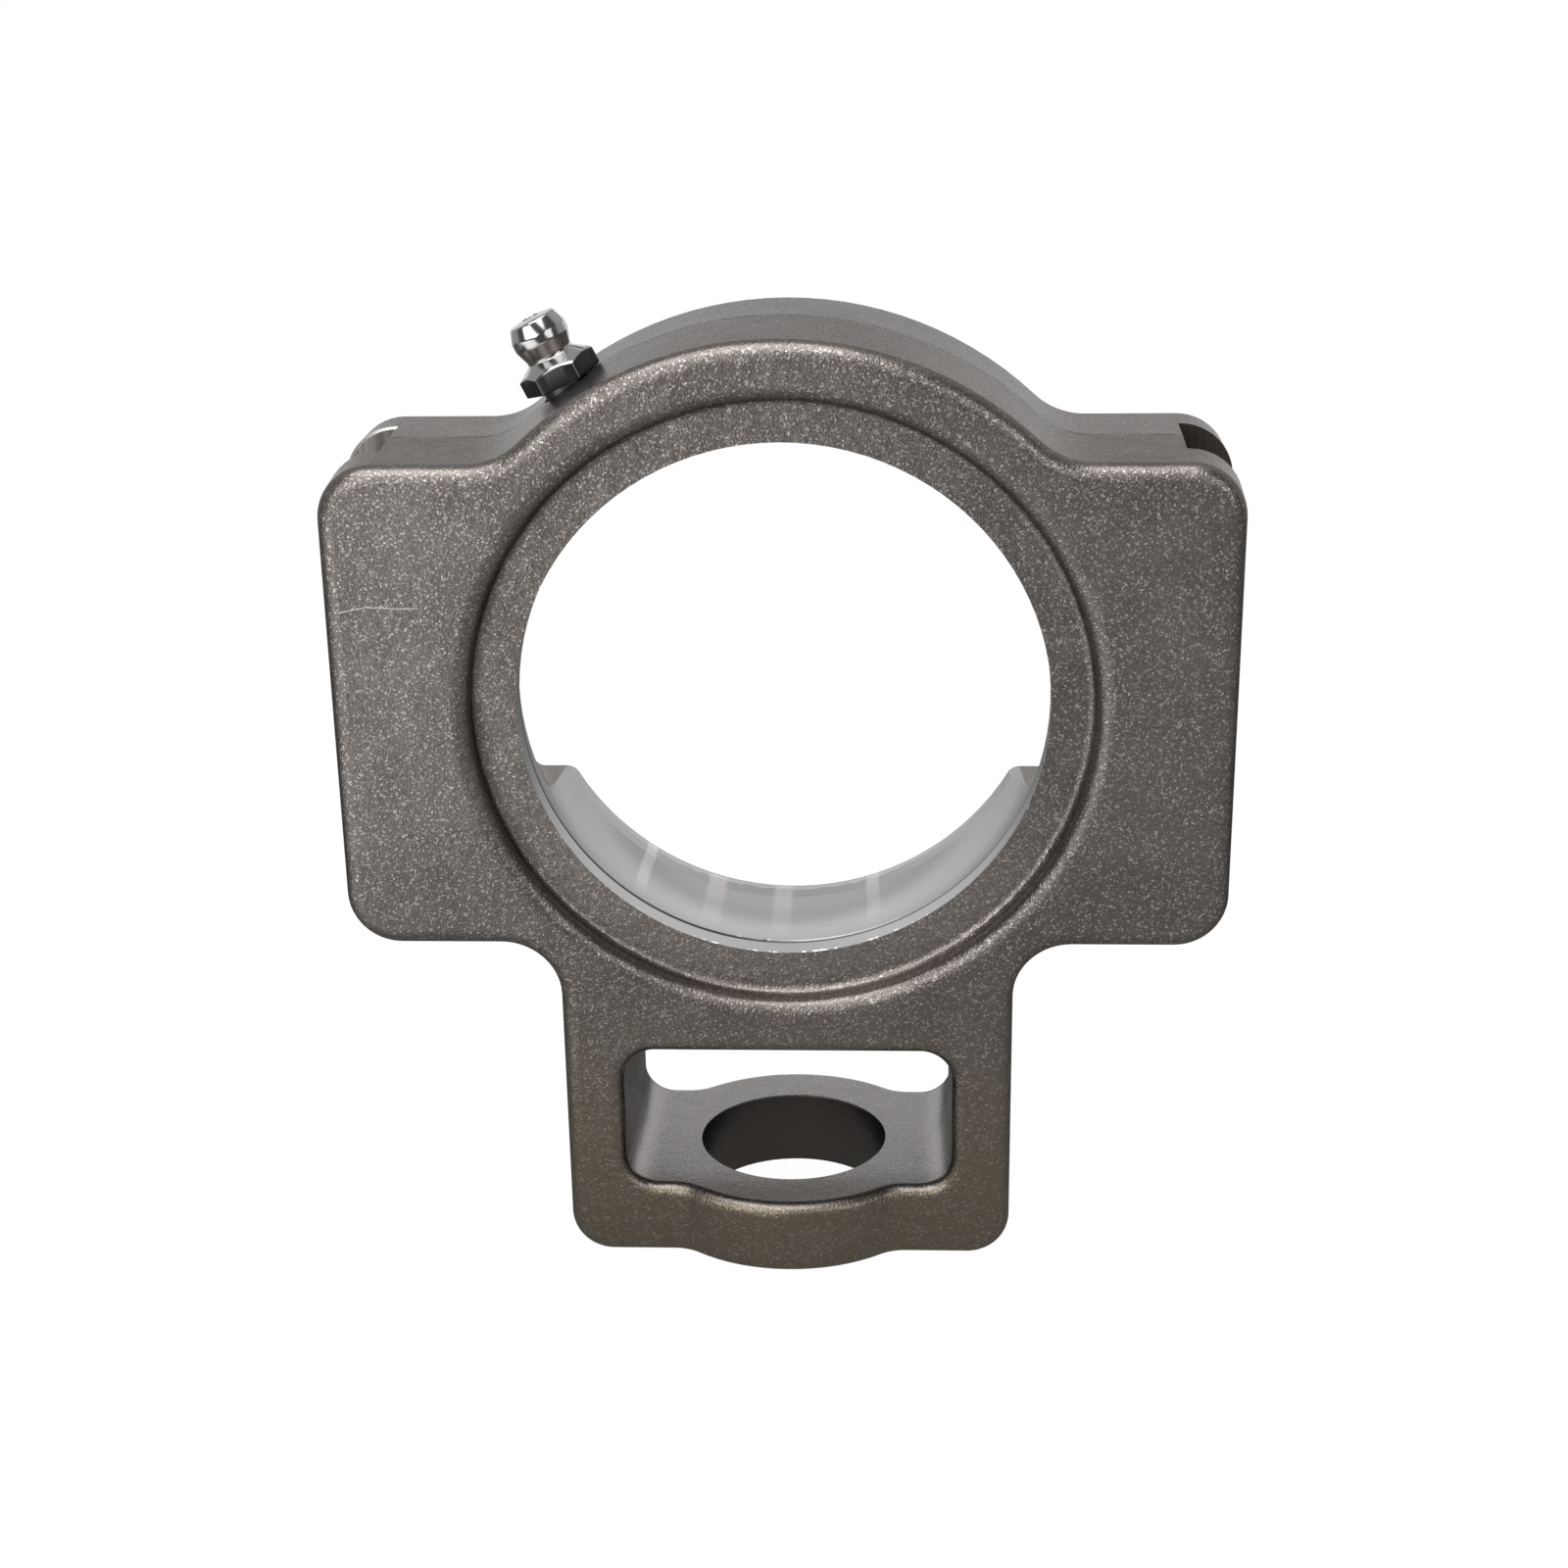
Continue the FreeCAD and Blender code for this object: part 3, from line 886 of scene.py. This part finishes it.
def nipple_rings():
    """All rings, up the outside from the foot to the mouth, and down the bore.

    Two ranges say at which rings the relief's faces start, and at which the hexagon's sides start.
    """
    rings = [ring(crimp_radius, thread_foot), ring(thread_radius - thread_end_chamfer, thread_foot)]
    rings += thread_rings()
    relief_from = len(rings)
    rings += [ring(relief_radius, relief_foot), ring(relief_radius, 0)]
    hexagon_from = len(rings)
    rings += [hex_ring(edge_ease, 0), hex_ring(0, edge_ease), below_hex_top]
    hexagon_to = len(rings) - 1
    rings += [hex_ring(edge_ease), inside_flats]
    shoulder_radius = flat_distance - 4 * edge_ease
    shoulder = [(shoulder_radius, hex_top(shoulder_radius))]
    neck = [(neck_radius, neck_foot), (neck_radius, neck_top)]
    band = [(head_radius, band_foot), (head_radius, band_top)]
    nose = [(nose_radius, nose_top), (mouth_radius, mouth_top)]
    bore = [(mouth_radius, ball_seat_top), (bore_radius, ball_seat_top - bore_radius + mouth_radius)]
    rings += eased(shoulder + neck + band + nose + bore, head_ease)
    crimp_top = thread_foot + crimp_thickness
    rings += [ring(bore_radius, crimp_top), ring(crimp_radius, crimp_top)]
    return rings, range(relief_from, hexagon_from), range(hexagon_from, hexagon_to)


def ring_angles():
    """Angles round the nipple: both edges of each cut corner, and even steps between them."""
    angles = []
    for side in range(hex_sides):
        first = hex_turn + side * side_turn + corner_half_turn
        span = side_turn - 2 * corner_half_turn
        angles += [first + span * step / steps_per_side for step in range(steps_per_side + 1)]
    return angles


# %% Skin of the nipple
sharp_turn = math.radians(32)
weld_distance = 0.002 * MM
nipple_finishes = [bright, painted_shade_sides, painted_half_shade]


def smooth_but_crisp(mesh):
    """Smooth shading, with the edges left crisp where the surface turns sharply."""
    solid = bmesh.new()
    solid.from_mesh(mesh)
    bmesh.ops.remove_doubles(solid, verts=solid.verts, dist=weld_distance)
    bmesh.ops.recalc_face_normals(solid, faces=solid.faces)
    for face in solid.faces:
        face.smooth = True
    for edge in solid.edges:
        edge.smooth = edge.calc_face_angle(0) < sharp_turn
    solid.to_mesh(mesh)
    solid.free()


def ring_points(rings, angles):
    """The points of all rings, one ring after another, in their places on the housing."""
    points = []
    for place in rings:
        for angle in angles:
            radius, height = place(angle)
            own = Vector((radius * math.cos(angle), radius * math.sin(angle), height)) * MM
            points.append(nipple_foot + nipple_turn @ own)
    return points


def make_nipple():
    """One closed skin of four-sided faces. Each face takes its finish from the ring below it."""
    rings, relief_rings, hexagon_rings = nipple_rings()
    angles = ring_angles()
    count = len(angles)
    faces = []
    finish_numbers = []
    for lower in range(len(rings)):
        upper = (lower + 1) % len(rings)
        for a in range(count):
            b = (a + 1) % count
            faces.append((lower * count + a, lower * count + b, upper * count + b, upper * count + a))
            at_cut_corner = a % (steps_per_side + 1) == steps_per_side
            finish = bright
            # the hexagon's sides take the painted shade copy, its cut corners and the relief the painted
            # half shade copy
            if lower in hexagon_rings:
                finish = painted_half_shade if at_cut_corner else painted_shade_sides
            if lower in relief_rings:
                finish = painted_half_shade
            finish_numbers.append(nipple_finishes.index(finish))
    mesh = bpy.data.meshes.new("nipple")
    mesh.from_pydata(ring_points(rings, angles), [], faces)
    for finish in nipple_finishes:
        mesh.materials.append(finish)
    mesh.polygons.foreach_set("material_index", finish_numbers)
    smooth_but_crisp(mesh)
    nipple = bpy.data.objects.new("nipple", mesh)
    bpy.context.scene.collection.objects.link(nipple)
    return nipple


nipple = make_nipple()
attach(nipple, "housing_body")
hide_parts("grease_nipple")
print("nipple:", len(nipple.data.polygons), "faces")

# %% [markdown]
# ## The ball's spring
# The spring is a wire swept along a spiral. Geometry Nodes makes it, so its turns and its wire stay numbers
# that can be changed.

# %% Spring, in millimetres from the hexagon's underside
coil_radius = 1.275
wire_radius = 0.175
spring_turns = 6.5
spring_foot = -4.275
spring_height = 9.30
steps_per_coil = 28
wire_sides = 10


def spring_nodes():
    """The tree that winds the spring: a spiral, a round section swept along it, and the wire's finish."""
    group = bpy.data.node_groups.new("wound_spring", "GeometryNodeTree")
    group.interface.new_socket("Geometry", in_out="OUTPUT", socket_type="NodeSocketGeometry")
    for name in ("Turns", "Height", "Coil radius", "Wire radius"):
        group.interface.new_socket(name, in_out="INPUT", socket_type="NodeSocketFloat")
    given = group.nodes.new("NodeGroupInput").outputs
    spiral_inputs = {
        "Resolution": steps_per_coil,
        "Rotations": given["Turns"],
        "Start Radius": given["Coil radius"],
        "End Radius": given["Coil radius"],
        "Height": given["Height"],
    }
    path = add(group, "GeometryNodeCurveSpiral", spiral_inputs).outputs[0]
    section_inputs = {"Resolution": wire_sides, "Radius": given["Wire radius"]}
    section = add(group, "GeometryNodeCurvePrimitiveCircle", section_inputs).outputs[0]
    sweep = {"Curve": path, "Profile Curve": section, "Fill Caps": True}
    wire = add(group, "GeometryNodeCurveToMesh", sweep).outputs[0]
    finish = add(group, "GeometryNodeSetMaterial", {"Geometry": wire, "Material": wire_finish}).outputs[0]
    whole = add(group, "GeometryNodeRealizeInstances", {"Geometry": finish}).outputs[0]
    result = group.nodes.new("NodeGroupOutput")
    group.links.new(whole, result.inputs[0])
    return group


def make_spring(anchor):
    """The spring as a plain mesh, in its place inside the nipple."""
    values = {"Turns": spring_turns, "Height": spring_height * MM}
    values.update({"Coil radius": coil_radius * MM, "Wire radius": wire_radius * MM})
    maker = bpy.data.objects.new("spring_maker", bpy.data.meshes.new("empty"))
    bpy.context.scene.collection.objects.link(maker)
    modifier = maker.modifiers.new("winding", "NODES")
    modifier.node_group = spring_nodes()
    for item in modifier.node_group.interface.items_tree:
        if item.name in values:
            modifier[item.identifier] = values[item.name]
    shown = maker.evaluated_get(bpy.context.evaluated_depsgraph_get())
    mesh = bpy.data.meshes.new_from_object(shown)
    bpy.data.objects.remove(maker)
    mesh.transform(Matrix.Translation(anchor) @ nipple_turn.to_4x4())
    spring = bpy.data.objects.new("spring", mesh)
    bpy.context.scene.collection.objects.link(spring)
    return spring


spring_anchor = nipple_foot + nipple_up * spring_foot * MM
spring = make_spring(spring_anchor)
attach(spring, "housing_body")
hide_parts("ball_spring")
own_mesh(spring)
print("spring:", len(spring.data.polygons), "faces")

# %% [markdown]
# ## Floor, backdrop and light
# The photo's background is plain white. The floor and the world are white to the camera and in reflections,
# and the floor still takes the object's shadow. Metal shows its room, and the photo's metal says what that
# room was: a softbox overhead makes the bright band along the edges that face up, a low panel at the front
# left lights the left wing more than the right one, and the rest of the room in front of the object is dim.
# Cards that only reflections see stand for the walls, the ceiling and the table.

# %% Floor and world, in metres
paper_grey = 0.85
floor_glow = 1.04
glow_share = 0.94
floor_half = 3
floor_gap = 0.06 * MM
ambient_level = 0.6


def seen_directly(tree):
    """1 for the camera, for reflections and through glass, and 0 for light that falls on things."""
    rays = add(tree, "ShaderNodeLightPath").outputs
    seen = calc(tree, "MAXIMUM", rays["Is Camera Ray"], rays["Is Glossy Ray"])
    return calc(tree, "MAXIMUM", seen, rays["Is Transmission Ray"])


def white_floor():
    """Paper that takes shadows, under a glow that makes it as white as the photo's background."""
    material = bpy.data.materials.new("white_floor")
    material.use_nodes = True
    tree = material.node_tree
    tree.nodes.clear()
    paper = add(tree, "ShaderNodeBsdfDiffuse", {"Color": grey(paper_grey)})
    glow = add(tree, "ShaderNodeEmission", {"Color": grey(1.0), "Strength": floor_glow})
    share = calc(tree, "MULTIPLY", seen_directly(tree), glow_share)
    surface = add(tree, "ShaderNodeMixShader", {0: share, 1: paper.outputs[0], 2: glow.outputs[0]})
    add(tree, "ShaderNodeOutputMaterial", {"Surface": surface.outputs[0]})
    return material


def flat_card(name, corner, along, up, material):
    """A flat rectangle from one corner and two sides."""
    corner, along, up = Vector(corner), Vector(along), Vector(up)
    mesh = bpy.data.meshes.new(name)
    mesh.from_pydata([corner, corner + along, corner + along + up, corner + up], [], [(0, 1, 2, 3)])
    card = bpy.data.objects.new(name, mesh)
    bpy.context.scene.collection.objects.link(card)
    card.data.materials.append(material)
    return card


floor_z = cad_box[0].z - floor_gap
floor_corner = (-floor_half, -floor_half, floor_z)
flat_card("floor", floor_corner, (2 * floor_half, 0, 0), (0, 2 * floor_half, 0), white_floor())

world = bpy.data.worlds.new("studio")
bpy.context.scene.world = world
world.use_nodes = True
world.node_tree.nodes.clear()
level = mix(world.node_tree, seen_directly(world.node_tree), ambient_level, 1.0)
background = add(world.node_tree, "ShaderNodeBackground", {"Color": grey(1.0), "Strength": level})
add(world.node_tree, "ShaderNodeOutputWorld", {"Surface": background.outputs[0]})
print("floor at", round(floor_z / MM, 2), "mm")

# %% Cards that only reflections see, in metres
room_half = 0.54
room_top = 0.44
wall_level = 0.10
side_level = 0.50
side_lit_from_y = -0.15
side_lit_full_y = 0.10
back_ceiling_level = 0.55
ceiling_lit_full_y = 0.15
table_gap = 0.03 * MM
table_back_edge = 0.45
table_dim = 0.42
table_far = 0.78
table_far_from_y = -0.10
table_far_full_y = -0.40
table_behind = 0.12
table_far_behind = 0.50
table_behind_y = 0.12
table_far_behind_y = 0.30
table_lit = 1.9
table_lit_full = -0.18
table_middle = 0.1
back_card_foot = 0.25
back_card_top = 0.36


def glow_card(name, corner, along, up, level_from):
    """A card with a plain glow, which is only there for reflections."""
    material = bpy.data.materials.new(name)
    material.use_nodes = True
    tree = material.node_tree
    tree.nodes.clear()
    glow = add(tree, "ShaderNodeEmission", {"Color": grey(1.0), "Strength": level_from(tree)})
    add(tree, "ShaderNodeOutputMaterial", {"Surface": glow.outputs[0]})
    card = flat_card(name, corner, along, up, material)
    card.visible_camera = False
    card.visible_diffuse = False
    card.visible_shadow = False
    card.visible_transmission = False


def dim(tree):
    """The same low glow all over a card."""
    return wall_level


def across_card(tree):
    """The place on a card in metres: X from left to right, and Y from front to back."""
    metres = add(tree, "ShaderNodeTexCoord").outputs["Object"]
    return add(tree, "ShaderNodeSeparateXYZ", {0: metres}).outputs


def side_light(tree):
    """A side wall's glow: dim beside the camera, and lighter from the object backwards."""
    return ramp(tree, across_card(tree)["Y"], side_lit_from_y, side_lit_full_y, wall_level, side_level)


def ceiling_light(tree):
    """The ceiling's glow: dim over the camera, and lighter behind the overhead softbox."""
    return ramp(tree, across_card(tree)["Y"], 0.0, ceiling_lit_full_y, wall_level, back_ceiling_level)


def table_light(tree):
    """The table's glow: brightest below the left softbox, and darkest behind the object."""
    at = across_card(tree)
    on_left = ramp(tree, at["X"], 0.0, table_lit_full)
    at_front = ramp(tree, at["Y"], 0.0, table_lit_full)
    in_front = ramp(tree, at["Y"], table_far_full_y, table_far_from_y, table_far, table_dim)
    behind = ramp(tree, at["Y"], table_behind_y, table_far_behind_y, table_behind, table_far_behind)
    elsewhere = mix(tree, ramp(tree, at["Y"], -table_middle, table_middle), in_front, behind)
    return mix(tree, both(tree, on_left, at_front), elsewhere, table_lit)


front_left = (-room_half, -room_half, floor_z)
front_right = (room_half, -room_half, floor_z)
front_left_top = (-room_half, -room_half, room_top)
back_left = (-room_half, room_half, back_card_foot)
table_corner = (-room_half, -room_half, floor_z + table_gap)
room_width = (2 * room_half, 0, 0)
room_depth = (0, 2 * room_half, 0)
room_height = (0, 0, room_top - floor_z)
back_height = (0, 0, back_card_top - back_card_foot)
table_depth = (0, room_half + table_back_edge, 0)
glow_card("front_wall", front_left, room_width, room_height, dim)
glow_card("left_wall", front_left, room_depth, room_height, side_light)
glow_card("right_wall", front_right, room_depth, room_height, side_light)
glow_card("ceiling", front_left_top, room_width, room_depth, ceiling_light)
glow_card("back_wall", back_left, room_width, back_height, dim)
glow_card("table", table_corner, room_width, table_depth, table_light)
print("room:", 2 * room_half, "m wide and", round(room_height[2], 2), "m high")

# %% Softboxes


def softbox(name, place, facing, width, height, brightness):
    """A rectangular light. The brightness is what a mirror would show of it."""
    data = bpy.data.lights.new(name, "AREA")
    data.shape = "RECTANGLE"
    data.size = width
    data.size_y = height
    data.energy = brightness * math.pi * width * height
    light = bpy.data.objects.new(name, data)
    bpy.context.scene.collection.objects.link(light)
    light.location = place
    light.rotation_euler = Vector(facing).to_track_quat("-Z", "Y").to_euler()


softbox(
    "overhead_softbox",
    place=(-0.10, -0.13, 0.42),
    facing=(0, 0, -1),
    width=0.44,
    height=0.40,
    brightness=3.3,
)
softbox(
    "left_softbox",
    place=(-0.24, -0.36, 0.18),
    facing=(0.24, 0.36, -0.14),
    width=0.46,
    height=0.22,
    brightness=2.6,
)
softbox(
    "right_fill",
    place=(0.34, -0.36, 0.25),
    facing=(-0.45, 0.7, -0.4),
    width=0.30,
    height=0.30,
    brightness=1.8,
)
print("lights:", sorted(light.name for light in bpy.data.lights))
